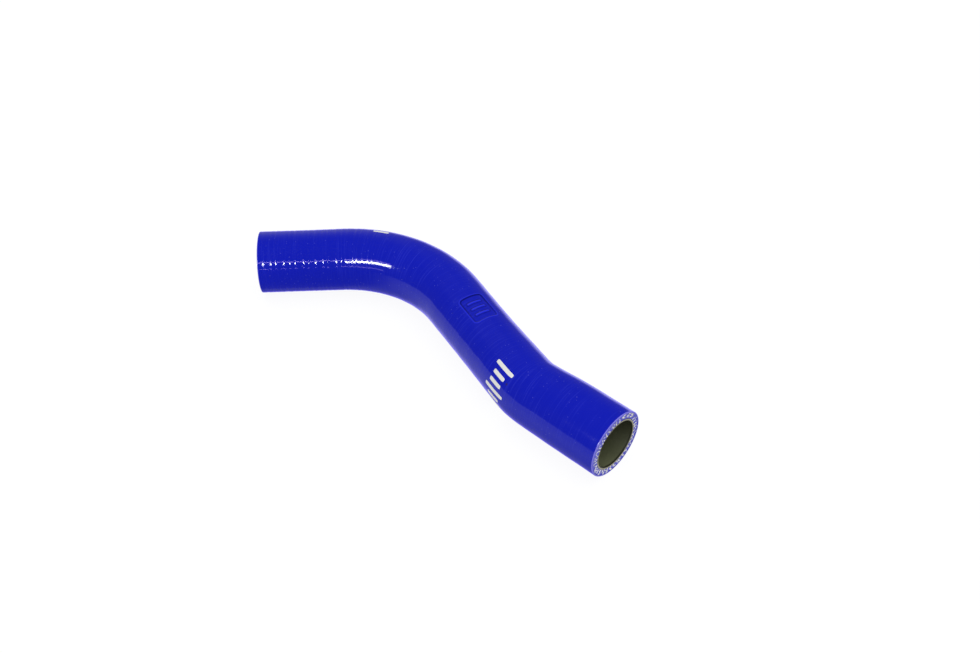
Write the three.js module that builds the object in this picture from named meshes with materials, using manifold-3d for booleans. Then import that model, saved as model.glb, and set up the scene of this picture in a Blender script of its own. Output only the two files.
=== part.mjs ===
// A moulded silicone breather hose: one laminated tube with two bends, lying flat on its side.
// Units are millimetres and degrees. +Z is up and the hose rests on Z = 0.
import * as THREE from "three";
import { mergeVertices } from "three/addons/utils/BufferGeometryUtils.js";
import Module from "manifold-3d";

const wasm = await Module();
wasm.setup();

// The bore slides over a spigot at either end and keeps one size from end to end.
const BORE_DIAMETER = 25;

// The centreline, from cuff A to cuff B. Bend 1 turns right and bend 2 turns part of the way back.
const CUFF_A_LENGTH = 44;
const BEND_1_RADIUS = 68.5;
const BEND_1_ANGLE = 63;
const MIDDLE_LENGTH = 70;
const BEND_2_RADIUS = 42;
const BEND_2_ANGLE = 17.5;
const CUFF_B_LENGTH = 47;

// The wall of plies and cover is wrapped by hand, so its thickness differs along the hose.
const CUFF_A_WALL = 4.3;
const BEND_1_WALL = 4.6;
const MIDDLE_WALL = 3.95;
const BEND_2_WALL = 4.35;
const CUFF_B_WALL = 5;

// The knife leaves slightly broken edges on the cut ends.
const OUTER_EDGE_BREAK = 0.4;
const BORE_EDGE_BREAK = 0.25;

// A metal tag pressed into the cover leaves a shallow rounded pocket with three plain bars in it.
const TAG_LENGTH = 18.6;
const TAG_WIDTH = 13.2;
const TAG_CORNER_RADIUS = 2;
const TAG_DEPTH = 0.35;
const TAG_DISTANCE_INTO_MIDDLE = 26.7;
const TAG_CLOCK_ANGLE = 89;
const TAG_BAR_COUNT = 3;
const TAG_BAR_PITCH = 4.4;
const TAG_BAR_LENGTH = 8.2;
const TAG_BAR_WIDTH = 1.4;
const TAG_BAR_HEIGHT = 0.3;

// How finely the surface is faceted.
const SIDES = 40;
const BEND_STEP_ANGLE = 4.5;
const STRAIGHT_STEP_LENGTH = 9;
const TAG_STEP_LENGTH = 1.7;

// How far a cutting or joining solid reaches past the surface that it works on.
const REACH = 0.8;

const rubber = new THREE.MeshStandardMaterial({ color: 0x1c20b4, roughness: 0.25, metalness: 0 });

// The centreline as a run of straights and arcs. Curvature is positive where the hose turns left.
const segments = [
  straight(CUFF_A_LENGTH),
  arc(BEND_1_RADIUS, -BEND_1_ANGLE),
  straight(MIDDLE_LENGTH),
  arc(BEND_2_RADIUS, BEND_2_ANGLE),
  straight(CUFF_B_LENGTH),
];

function straight(length) {
  return { length, curvature: 0, steps: Math.ceil(length / STRAIGHT_STEP_LENGTH) };
}

function arc(radius, angle) {
  const turn = THREE.MathUtils.degToRad(Math.abs(angle));
  return {
    length: radius * turn,
    curvature: Math.sign(angle) / radius,
    steps: Math.ceil(Math.abs(angle) / BEND_STEP_ANGLE),
  };
}

// Where each segment starts, measured along the centreline, with the hose's end as the last entry.
const starts = segments.reduce((found, segment) => [...found, found.at(-1) + segment.length], [0]);
const hoseLength = starts.at(-1);

// The centreline's point and heading at a distance from the cuff A end, in the plane of the bends.
function centreline(distance) {
  const point = new THREE.Vector2();
  let heading = 0;
  segments.forEach(({ length, curvature }, i) => {
    const isLast = i === segments.length - 1;
    const run = Math.max(distance - starts[i], 0);
    const along = isLast ? run : Math.min(run, length);
    const turned = curvature * along;
    const chord = turned ? (2 * Math.sin(turned / 2)) / curvature : along;
    point.x += chord * Math.cos(heading + turned / 2);
    point.y += chord * Math.sin(heading + turned / 2);
    heading += turned;
  });
  return { point, heading };
}

// The wall thickness eases from one named value to the next between these places.
const wallStations = [
  [starts[1] / 2, CUFF_A_WALL],
  [(starts[1] + starts[2]) / 2, BEND_1_WALL],
  [(starts[2] + starts[3]) / 2, MIDDLE_WALL],
  [(starts[3] + starts[4]) / 2, BEND_2_WALL],
  [(starts[4] + starts[5]) / 2, CUFF_B_WALL],
];

function wallAt(distance) {
  let wall = wallStations[0][1];
  for (let i = 1; i < wallStations.length; i++) {
    const [from, before] = wallStations[i - 1];
    const [to, after] = wallStations[i];
    if (distance > from) wall = before + (after - before) * THREE.MathUtils.smoothstep(distance, from, to);
  }
  return wall;
}

const outerRadius = (distance) => BORE_DIAMETER / 2 + wallAt(distance);

// Carries a point of the straight hose onto the bent one. The straight hose lies along Y, Z is up
// and X points to its right, and the underside of the wall touches Z = 0 all the way.
function bend(geometry) {
  const position = geometry.getAttribute("position");
  for (let i = 0; i < position.count; i++) {
    const distance = position.getY(i);
    const { point, heading } = centreline(distance);
    position.setXYZ(
      i,
      point.x + position.getX(i) * Math.sin(heading),
      point.y - position.getX(i) * Math.cos(heading),
      position.getZ(i) + outerRadius(THREE.MathUtils.clamp(distance, 0, hoseLength)),
    );
  }
  return geometry;
}

// Distances along the hose at which its surface has a ring of vertices.
function ringDistances() {
  const found = [];
  segments.forEach(({ length, steps }, i) => {
    for (let step = 0; step < steps; step++) found.push(starts[i] + (length * step) / steps);
  });
  return found.slice(1);
}

// The hose wall as a closed profile turned about the straight centreline: out along the cover from
// cuff A to cuff B, across the cut end, back along the bore and across the other cut end.
function straightWall() {
  const bore = BORE_DIAMETER / 2;
  const rings = ringDistances();
  const cover = rings.map((distance) => new THREE.Vector2(outerRadius(distance), distance));
  const inside = rings.map((distance) => new THREE.Vector2(bore, distance)).reverse();
  const profile = [
    new THREE.Vector2(outerRadius(0) - OUTER_EDGE_BREAK, 0),
    new THREE.Vector2(outerRadius(0), OUTER_EDGE_BREAK),
    ...cover,
    new THREE.Vector2(outerRadius(hoseLength), hoseLength - OUTER_EDGE_BREAK),
    new THREE.Vector2(outerRadius(hoseLength) - OUTER_EDGE_BREAK, hoseLength),
    new THREE.Vector2(bore + BORE_EDGE_BREAK, hoseLength),
    new THREE.Vector2(bore, hoseLength - BORE_EDGE_BREAK),
    ...inside,
    new THREE.Vector2(bore, BORE_EDGE_BREAK),
    new THREE.Vector2(bore + BORE_EDGE_BREAK, 0),
  ];
  profile.push(profile[0].clone());
  return new THREE.LatheGeometry(profile, SIDES);
}

// A pad that follows the round cover: a box with rounded corners in plan, wrapped around the
// straight hose. It is centred at a distance along the hose and a clock angle around it (0 points
// right of the direction of travel and 90 up), and reaches from one height to another, both
// measured from the cover.
function wrappedPad({ length, width, corner, distance, clock, from, to }) {
  const steps = [length, width].map((size) => Math.max(2, Math.round(size / TAG_STEP_LENGTH)));
  const pad = new THREE.BoxGeometry(width, length, to - from, steps[1], steps[0], 1);
  const position = pad.getAttribute("position");
  for (let i = 0; i < position.count; i++) {
    const along = position.getY(i);
    const intoCorner = Math.max(Math.abs(along) - (length / 2 - corner), 0);
    const halfWidth = width / 2 - corner + Math.sqrt(Math.max(corner ** 2 - intoCorner ** 2, 0));
    const across = (position.getX(i) * halfWidth) / (width / 2);
    const cover = outerRadius(distance + along);
    const radius = cover + (from + to) / 2 + position.getZ(i);
    const angle = THREE.MathUtils.degToRad(clock) - across / cover;
    position.setXYZ(i, radius * Math.cos(angle), distance + along, radius * Math.sin(angle));
  }
  return pad;
}

function tagPocket(distance, clock) {
  return wrappedPad({
    length: TAG_LENGTH,
    width: TAG_WIDTH,
    corner: TAG_CORNER_RADIUS,
    distance,
    clock,
    from: -TAG_DEPTH,
    to: REACH,
  });
}

// The raised bars run across the hose and stand on the pocket's floor.
function tagBars(distance, clock) {
  return Array.from({ length: TAG_BAR_COUNT }, (_, i) =>
    wrappedPad({
      length: TAG_BAR_WIDTH,
      width: TAG_BAR_LENGTH,
      corner: TAG_BAR_WIDTH / 3,
      distance: distance + (i - (TAG_BAR_COUNT - 1) / 2) * TAG_BAR_PITCH,
      clock,
      from: -TAG_DEPTH - REACH,
      to: TAG_BAR_HEIGHT - TAG_DEPTH,
    }),
  );
}

function toSolid(geometry) {
  const bare = geometry.clone();
  bare.deleteAttribute("normal");
  bare.deleteAttribute("uv");
  const merged = mergeVertices(bare, 1e-4);
  return new wasm.Manifold(
    new wasm.Mesh({
      numProp: 3,
      vertProperties: merged.getAttribute("position").array,
      triVerts: new Uint32Array(merged.index.array),
    }),
  );
}

function toGeometry(solid) {
  const mesh = solid.getMesh();
  const geometry = new THREE.BufferGeometry();
  geometry.setAttribute("position", new THREE.BufferAttribute(mesh.vertProperties, 3));
  geometry.setIndex(new THREE.BufferAttribute(mesh.triVerts, 1));
  geometry.computeVertexNormals();
  return geometry;
}

function makeHose() {
  const distance = starts[2] + TAG_DISTANCE_INTO_MIDDLE;
  const wall = toSolid(bend(straightWall()));
  const pocket = toSolid(bend(tagPocket(distance, TAG_CLOCK_ANGLE)));
  const bars = tagBars(distance, TAG_CLOCK_ANGLE).map((bar) => toSolid(bend(bar)));
  const solid = bars.reduce((joined, bar) => joined.add(bar), wall.subtract(pocket));
  const hose = new THREE.Mesh(toGeometry(solid), rubber);
  hose.name = "hose";
  return hose;
}

// The origin is under the middle of the hose, on the surface that it lies on.
function centreOnFloor(group) {
  const box = new THREE.Box3().setFromObject(group);
  const centre = box.getCenter(new THREE.Vector3());
  group.position.set(-centre.x, -centre.y, -box.min.z);
  return group;
}

const hoseGroup = new THREE.Group();
hoseGroup.add(makeHose());

export default centreOnFloor(hoseGroup);
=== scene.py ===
"""A moulded silicone breather hose with a shallow S bend, lying flat on a white table.

Lengths are metres and angles degrees, in the row's own frame: +Z is up, and cuff A runs along +X
from its mouth. The hose is one round tube carried along a path of straights and arcs, so every
surface here is a function of two parameters: the distance along the centreline from the mouth of
cuff A, and the clock angle around it, where 0 points right of the direction of travel and 90 up.
"""

import logging
import math
from collections.abc import Callable, Sequence
from dataclasses import dataclass, field
from enum import Enum

import bpy
import numpy as np
from mathutils import Matrix, Vector

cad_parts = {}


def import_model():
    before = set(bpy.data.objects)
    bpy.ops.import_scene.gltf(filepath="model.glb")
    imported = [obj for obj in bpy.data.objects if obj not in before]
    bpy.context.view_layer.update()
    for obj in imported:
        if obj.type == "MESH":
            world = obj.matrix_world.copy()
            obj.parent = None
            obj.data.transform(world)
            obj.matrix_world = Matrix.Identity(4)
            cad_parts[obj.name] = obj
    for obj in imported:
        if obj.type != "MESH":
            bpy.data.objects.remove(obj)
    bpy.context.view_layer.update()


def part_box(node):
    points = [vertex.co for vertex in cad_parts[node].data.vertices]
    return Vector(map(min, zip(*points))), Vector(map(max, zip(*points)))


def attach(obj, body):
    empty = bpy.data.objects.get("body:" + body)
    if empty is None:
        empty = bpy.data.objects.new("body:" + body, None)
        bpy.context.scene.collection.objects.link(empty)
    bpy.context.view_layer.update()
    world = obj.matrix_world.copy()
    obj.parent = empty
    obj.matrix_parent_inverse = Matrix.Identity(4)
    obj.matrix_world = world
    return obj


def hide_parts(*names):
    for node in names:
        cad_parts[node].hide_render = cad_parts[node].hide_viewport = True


log = logging.getLogger("breather_hose")

MM = 0.001
FULL_TURN = 2 * math.pi
UNDERSIDE = -90.0
BODY = "root"
HOSE_NODE = "hose"
SURFACE_MAP = "surface"
CUT_EDGE = "cut_edge"
# Attributes of the tag mark's painted shade at the foot of its walls and painted highlight on its lip and
# bars.
CREASE_SHADE = "crease_shade"
RIDGE_HIGHLIGHT = "ridge_highlight"
CLEAN = "clean"
# The share of painted light on the liner: lighter where its inner face looks up, with painted shade in a
# band just inside each mouth.
BORE_LIGHT = "painted_bore_light"
ROUND_OFF = 1e-9
SIDE_SAMPLES = 2001

Colour = tuple[float, float, float]
Direction = tuple[float, float, float]
Reach = tuple[float, float]

WHITE: Colour = (1.0, 1.0, 1.0)


class Slot(Enum):
    """Names for the material slots."""

    COVER = "silicone_cover"
    MATRIX = "ply_matrix"
    YARN = "ply_yarn"
    LINER = "bore_liner"
    PRINT = "white_print"


class End(Enum):
    """The two cut ends of the hose."""

    A = "a"
    B = "b"


# The shape of the hose


@dataclass(frozen=True)
class Route:
    """The centreline in plan: three straights joined by two arcs. An angle is positive to the left."""

    cuff_a_length: float = 44 * MM
    bend_1_radius: float = 68.5 * MM
    bend_1_angle: float = -63.0
    middle_length: float = 70 * MM
    bend_2_radius: float = 42 * MM
    bend_2_angle: float = 17.5
    cuff_b_length: float = 47 * MM

    def segments(self) -> list[tuple[float, float]]:
        """Lists the segments in order.

        Returns:
            Each segment's length and curvature, which is positive where the hose turns left.
        """
        turn_1 = math.radians(self.bend_1_angle)
        turn_2 = math.radians(self.bend_2_angle)
        return [
            (self.cuff_a_length, 0.0),
            (self.bend_1_radius * abs(turn_1), math.copysign(1 / self.bend_1_radius, turn_1)),
            (self.middle_length, 0.0),
            (self.bend_2_radius * abs(turn_2), math.copysign(1 / self.bend_2_radius, turn_2)),
            (self.cuff_b_length, 0.0),
        ]

    def starts(self) -> np.ndarray:
        """Gives the distance at which each segment starts, with the hose's whole length last."""
        return np.cumsum([0.0] + [length for length, _ in self.segments()])

    def place(self, distance: np.ndarray) -> tuple[np.ndarray, np.ndarray, np.ndarray]:
        """Finds points of the centreline in plan.

        Each segment adds its chord: the run itself on a straight, and 2 sin(turn / 2) / curvature
        on an arc, laid off at the heading halfway through the turn. Beyond its ends the line
        goes on straight.

        Args:
            distance: Distances from the mouth of cuff A.

        Returns:
            The x and y of each point, and the heading there in radians.
        """
        x = np.zeros_like(distance)
        y = np.zeros_like(distance)
        heading = np.zeros_like(distance)
        segments = self.segments()
        for i, ((length, curvature), start) in enumerate(zip(segments, self.starts())):
            low = -np.inf if i == 0 else 0.0
            high = np.inf if i == len(segments) - 1 else length
            run = np.clip(distance - start, low, high)
            turned = curvature * run
            chord = 2 * np.sin(turned / 2) / curvature if curvature else run
            x = x + chord * np.cos(heading + turned / 2)
            y = y + chord * np.sin(heading + turned / 2)
            heading = heading + turned
        return x, y, heading


@dataclass(frozen=True)
class Wall:
    """The hand-wrapped wall, whose thickness differs along the hose, around a constant bore."""

    bore_radius: float = 12.5 * MM
    cuff_a: float = 4.3 * MM
    bend_1: float = 4.6 * MM
    middle: float = 3.95 * MM
    bend_2: float = 4.35 * MM
    cuff_b: float = 5.0 * MM

    def thickness(self, route: Route, distance: np.ndarray) -> np.ndarray:
        """Gives the wall's thickness, which eases from one segment's middle to the next.

        Args:
            route: The centreline.
            distance: Distances from the mouth of cuff A.

        Returns:
            The thickness at each distance.
        """
        starts = route.starts()
        middles = (starts[:-1] + starts[1:]) / 2
        values = [self.cuff_a, self.bend_1, self.middle, self.bend_2, self.cuff_b]
        wall = np.full_like(distance, values[0])
        for i in range(1, len(values)):
            rise = smooth_step(distance, middles[i - 1], middles[i])
            wall = wall + (values[i] - values[i - 1]) * rise
        return wall


@dataclass(frozen=True)
class HoseForm:
    """Carries hose coordinates, which are distance, clock angle and radius, into the row's frame."""

    route: Route
    wall: Wall
    origin: tuple[float, float] = (0.0, 0.0)

    @property
    def length(self) -> float:
        """The length of the centreline."""
        return float(self.route.starts()[-1])

    def outer_radius(self, distance: np.ndarray) -> np.ndarray:
        """Gives the radius of the cover at each distance."""
        inside = np.clip(distance, 0.0, self.length)
        return self.wall.bore_radius + self.wall.thickness(self.route, inside)

    def carry(self, distance: np.ndarray, clock: np.ndarray, radius: np.ndarray) -> np.ndarray:
        """Finds points in the row's frame.

        A point is the centreline's point, plus the radius times the cosine of the clock angle to
        the right of the heading, plus the radius times its sine upwards. The centreline is one
        outer radius above the table, so the cover's underside touches it all the way.

        Args:
            distance: Distances from the mouth of cuff A.
            clock: Clock angles in radians.
            radius: Distances from the centreline.

        Returns:
            The points, in an array with one more axis of length 3.
        """
        distance, clock, radius = np.broadcast_arrays(distance, clock, radius)
        x, y, heading = self.route.place(distance)
        across = radius * np.cos(clock)
        return np.stack(
            [
                self.origin[0] + x + across * np.sin(heading),
                self.origin[1] + y - across * np.cos(heading),
                self.outer_radius(distance) + radius * np.sin(clock),
            ],
            axis=-1,
        )

    def seated(self, low: Vector, high: Vector) -> "HoseForm":
        """Moves the form so that it fills the hose's own box in the frame.

        Args:
            low: The box's lowest corner, whose x is the mouth of cuff A.
            high: The box's highest corner, whose y is the side of cuff A.

        Returns:
            The same form with its origin set.
        """
        distance = np.linspace(0.0, self.length, SIDE_SAMPLES)
        _, y, heading = self.route.place(distance)
        side = float(np.max(y + self.outer_radius(distance) * np.cos(heading)))
        return HoseForm(self.route, self.wall, (low.x, high.y - side))


def smooth_step(value: np.ndarray, start: float, end: float) -> np.ndarray:
    """Rises from 0 at start to 1 at end along 3t² - 2t³, and stays flat beyond them."""
    t = np.clip((value - start) / (end - start), 0.0, 1.0)
    return t * t * (3 - 2 * t)


def clock_from(clock: np.ndarray, centre: float) -> np.ndarray:
    """Gives how far clock angles lie from a centre in degrees, up to half a turn each way."""
    return (clock - math.radians(centre) + math.pi) % FULL_TURN - math.pi


def ring_clock(step: float) -> np.ndarray:
    """Spaces clock angles evenly, a step in degrees apart, from the underside round."""
    return np.radians(np.arange(UNDERSIDE, UNDERSIDE + 360.0, step))


def bell(value: np.ndarray, reach: float) -> np.ndarray:
    """Falls from 1 at zero along a bell curve, exp(-(value / reach)²)."""
    return np.exp(-((value / reach) ** 2))


def rounded_box_distance(
    x: np.ndarray, y: np.ndarray, length: float, width: float, corner: float
) -> np.ndarray:
    """Measures how far points lie outside a rounded rectangle centred on the origin.

    The distance is that to the rectangle shrunk by its corner radius, less that radius, and it is
    negative inside.

    Args:
        x: Positions along the length.
        y: Positions along the width.
        length: The rectangle's size along x.
        width: The rectangle's size along y.
        corner: The radius of its corners.

    Returns:
        The signed distance of each point.
    """
    past_x = np.abs(x) - (length / 2 - corner)
    past_y = np.abs(y) - (width / 2 - corner)
    outside = np.hypot(np.maximum(past_x, 0.0), np.maximum(past_y, 0.0))
    return outside + np.minimum(np.maximum(past_x, past_y), 0.0) - corner


def graded(low: float, high: float, step: float, fine: Sequence[tuple[float, float, float]]) -> np.ndarray:
    """Spaces positions evenly, and closer together in some stretches.

    Args:
        low: The first position.
        high: The last position.
        step: The spacing outside the fine stretches.
        fine: Stretches as (start, end, spacing), in order and apart.

    Returns:
        The positions, from low to high.
    """
    marks = [low]
    for start, end, spacing in [*fine, (high, high, step)]:
        for target, gap in ((start, step), (end, spacing)):
            if target > marks[-1]:
                count = max(1, math.ceil((target - marks[-1]) / gap - ROUND_OFF))
                marks.extend(np.linspace(marks[-1], target, count + 1)[1:])
    return np.array(marks)


# Objects and meshes


def add_object(name: str, data: bpy.types.ID) -> bpy.types.Object:
    """Puts a mesh, lamp or camera into the scene."""
    item = bpy.data.objects.new(name, data)
    bpy.context.scene.collection.objects.link(item)
    return item


def add_piece(
    name: str,
    points: np.ndarray,
    faces: np.ndarray,
    surface: np.ndarray,
    attributes: dict[str, np.ndarray] | None = None,
) -> bpy.types.Object:
    """Adds a smooth mesh to the scene.

    Args:
        name: The piece's name.
        points: Vertices, one row each.
        faces: Vertex numbers of each face, one row each, turning left seen from outside.
        surface: The surface map's two coordinates at each face's corner, in millimetres.
        attributes: Values for each vertex, by the name of the attribute that holds them.

    Returns:
        The new object.
    """
    mesh = bpy.data.meshes.new(name)
    corners = faces.shape[1]
    mesh.vertices.add(len(points))
    mesh.vertices.foreach_set("co", points.astype(np.float32).ravel())
    mesh.loops.add(faces.size)
    mesh.loops.foreach_set("vertex_index", faces.astype(np.int32).ravel())
    mesh.polygons.add(len(faces))
    mesh.polygons.foreach_set("loop_start", np.arange(0, faces.size, corners, dtype=np.int32))
    mesh.polygons.foreach_set("use_smooth", np.ones(len(faces), dtype=bool))
    layer = mesh.uv_layers.new(name=SURFACE_MAP)
    layer.data.foreach_set("uv", surface.astype(np.float32).ravel())
    for key, values in (attributes or {}).items():
        attribute = mesh.attributes.new(key, "FLOAT", "POINT")
        attribute.data.foreach_set("value", values.astype(np.float32).ravel())
    mesh.update(calc_edges=True)
    mesh.validate()
    return add_object(name, mesh)


@dataclass
class RingGrid:
    """A closed ring of wall: a closed section, one row per point of it, carried around the hose.

    Rows follow the section from the mouth of cuff A along the outside, back along the inside and
    round to the start. Columns follow the clock angle from the underside. The distance may be one
    column or the whole grid, like the radius and the marks, which hold the mesh's attributes.
    """

    form: HoseForm
    distance: np.ndarray
    radius: np.ndarray
    clock: np.ndarray
    across: np.ndarray
    marks: dict[str, np.ndarray]

    def build(self, name: str) -> bpy.types.Object:
        """Joins each point of the grid to its neighbours, and the last row and column to the first.

        The surface map holds the arc around the hose, which is the clock angle times the bore's
        radius, and the across value of the row.

        Args:
            name: The piece's name.

        Returns:
            The new object.
        """
        rows, columns = self.radius.shape
        points = self.form.carry(self.distance, self.clock[None, :], self.radius)
        row = np.arange(rows)[:, None]
        column = np.arange(columns)[None, :]
        next_row = (row + 1) % rows
        next_column = (column + 1) % columns
        corners = [(row, column), (next_row, column), (next_row, next_column), (row, next_column)]
        faces = np.stack([r * columns + c for r, c in corners], axis=-1).reshape(-1, 4)
        arc = self.form.wall.bore_radius * np.append(self.clock, self.clock[0] + FULL_TURN) / MM
        left, right = arc[None, :-1], arc[None, 1:]
        here, there = self.across[:, None] / MM, np.roll(self.across, -1)[:, None] / MM
        pairs = [(left, here), (left, there), (right, there), (right, here)]
        surface = np.stack([np.stack(np.broadcast_arrays(*pair), axis=-1) for pair in pairs], axis=-2)
        spread = {key: np.broadcast_to(mark, (rows, columns)) for key, mark in self.marks.items()}
        return add_piece(name, points.reshape(-1, 3), faces, surface.reshape(-1, 2), spread)


@dataclass(frozen=True)
class Row:
    """One point of a section: its distance, its depth as its wall counts it, and how fresh its cut is."""

    distance: float
    depth: float
    cut: float = 0.0


def as_arrays(rows: Sequence[Row]) -> np.ndarray:
    """Gives the distances, depths and cuts of a section's rows as three arrays."""
    return np.array([(row.distance, row.depth, row.cut) for row in rows]).T


def lip_points(reach: float, steps: int) -> list[tuple[float, float]]:
    """Lists points of the quarter circle that rounds a lip, from a surface to its cut face.

    Args:
        reach: The circle's radius.
        steps: How many steps it takes.

    Returns:
        How far inside the mouth each point is, which is the reach times 1 - sin a, and its depth
        under the surface, the reach times 1 - cos a.
    """
    angles = np.linspace(0.0, math.pi / 2, steps + 1)[1:]
    return [(reach * (1 - math.sin(a)), reach * (1 - math.cos(a))) for a in angles]


# The sub-parts


@dataclass(frozen=True)
class TagMark:
    """The shallow rounded pocket that a metal tag left in the cover, with three plain raised bars."""

    length: float = 18.6 * MM
    width: float = 13.2 * MM
    corner: float = 2 * MM
    depth: float = 0.35 * MM
    tilt: float = 0.35
    edge: float = 0.5 * MM
    lip_height: float = 0.06 * MM
    ridge_reach: float = 0.3 * MM
    # Where the painted shade at the foot of each wall lies, and how wide it is.
    shade_inset: float = 0.3 * MM
    shade_reach: float = 0.3 * MM
    distance_into_middle: float = 26.7 * MM
    clock: float = 89.0
    bar_count: int = 3
    bar_pitch: float = 4.4 * MM
    bar_length: float = 8.2 * MM
    bar_width: float = 1.4 * MM
    bar_corner: float = 0.6364 * MM
    bar_height: float = 0.3 * MM
    bar_edge: float = 0.35 * MM
    bar_shade: float = 0.7

    def centre(self, form: HoseForm) -> float:
        """Gives the distance of the mark's centre from the mouth of cuff A."""
        return float(form.route.starts()[2]) + self.distance_into_middle

    def relief(
        self, form: HoseForm, distance: np.ndarray, clock: np.ndarray
    ) -> tuple[np.ndarray, np.ndarray, np.ndarray]:
        """Gives the height of the mark above the cover, which is negative in the pocket.

        Heights ease across each outline's signed distance, so the pocket has soft walls and a
        faint lip where the silicone was pressed up around the tag. The tag went in deeper at its
        end towards cuff A. Painted shade lies along the foot of each wall and bar, and a painted
        highlight along the top of each wall and over each bar, as bell curves of the same distance;
        the painted shade is darker where the pocket is deeper.

        Args:
            form: The hose's shape.
            distance: Distances from the mouth of cuff A.
            clock: Clock angles in radians.

        Returns:
            The height at each point, and the share of painted shade at the foot of the walls and of painted
            highlight on their tops, from 0 to 1.
        """
        along = distance - self.centre(form)
        around = clock_from(clock, self.clock) * form.outer_radius(distance)
        outline = rounded_box_distance(along, around, self.length, self.width, self.corner)
        deeper = 1 - 2 * self.tilt * along / self.length
        lip = bell(outline - self.ridge_reach, self.ridge_reach)
        height = self.lip_height * lip - self.depth * deeper * (1 - smooth_step(outline, -self.edge, 0.0))
        # Painted shade at the foot of the pocket's walls, darker where the pocket is deeper.
        crease_shade = bell(outline + self.shade_inset, self.shade_reach) * deeper
        # Painted highlight on the lip around the pocket.
        ridge_highlight = lip
        for i in range(self.bar_count):
            offset = along - (i - (self.bar_count - 1) / 2) * self.bar_pitch
            bar = rounded_box_distance(offset, around, self.bar_width, self.bar_length, self.bar_corner)
            top = 1 - smooth_step(bar, -self.bar_edge, 0.0)
            height = height + self.bar_height * top
            # Painted shade at the foot of each bar.
            crease_shade = np.maximum(crease_shade, self.bar_shade * bell(bar - self.shade_inset, self.shade_reach))
            # Painted highlight over each bar's top.
            ridge_highlight = np.maximum(ridge_highlight, top)
        return height, np.minimum(crease_shade, 1.0), ridge_highlight


@dataclass(frozen=True)
class WrapRelief:
    """Shallow steps that the tape wound around the hose left in the cover while it cured.

    The tape climbs one pitch in each turn. Across a turn the cover rises over a short step and
    then falls back slowly.
    """

    pitch: float = 3.5 * MM
    rise_share: float = 0.2
    depth_at_cuff_a: float = 0.085 * MM
    depth_elsewhere: float = 0.012 * MM
    fade_start: float = 50 * MM
    fade_end: float = 85 * MM
    wander: float = 0.16
    wander_pitch: float = 9.3 * MM
    swell_pitch: float = 13 * MM
    swell_depth: float = 0.04 * MM
    mean_share: float = 0.62
    long_wave: tuple[float, float] = (0.25, 2.1)
    short_wave: tuple[float, float] = (0.13, 3.7)

    def depth(self, distance: np.ndarray, clock: np.ndarray) -> np.ndarray:
        """Gives how deep the cover lies under its round form, which is never less than zero.

        The place within a turn is the distance over the pitch, plus the clock angle over a full
        turn, plus a slow wander. The step's depth varies along two long sine waves, and a long low
        swell lies under it all.

        Args:
            distance: Distances from the mouth of cuff A.
            clock: Clock angles in radians.

        Returns:
            The depth at each point.
        """
        waver = np.sin(FULL_TURN * distance / self.wander_pitch + np.sin(clock))
        turns = distance / self.pitch + clock / FULL_TURN + self.wander * waver
        place = turns % 1.0
        rise = smooth_step(place, 0.0, self.rise_share)
        fall = smooth_step(place, self.rise_share, 1.0)
        fade = smooth_step(distance, self.fade_start, self.fade_end)
        depth = self.depth_at_cuff_a + (self.depth_elsewhere - self.depth_at_cuff_a) * fade
        (high, often), (low, more_often) = self.long_wave, self.short_wave
        uneven = self.mean_share + high * np.sin(often * turns + clock)
        uneven = uneven + low * np.sin(more_often * turns + 2 * clock)
        swell = 1 + np.sin(FULL_TURN * distance / self.swell_pitch + 2 * np.sin(clock))
        return depth * uneven * (1 - rise + fall) + self.swell_depth * swell / 2 * fade


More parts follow.
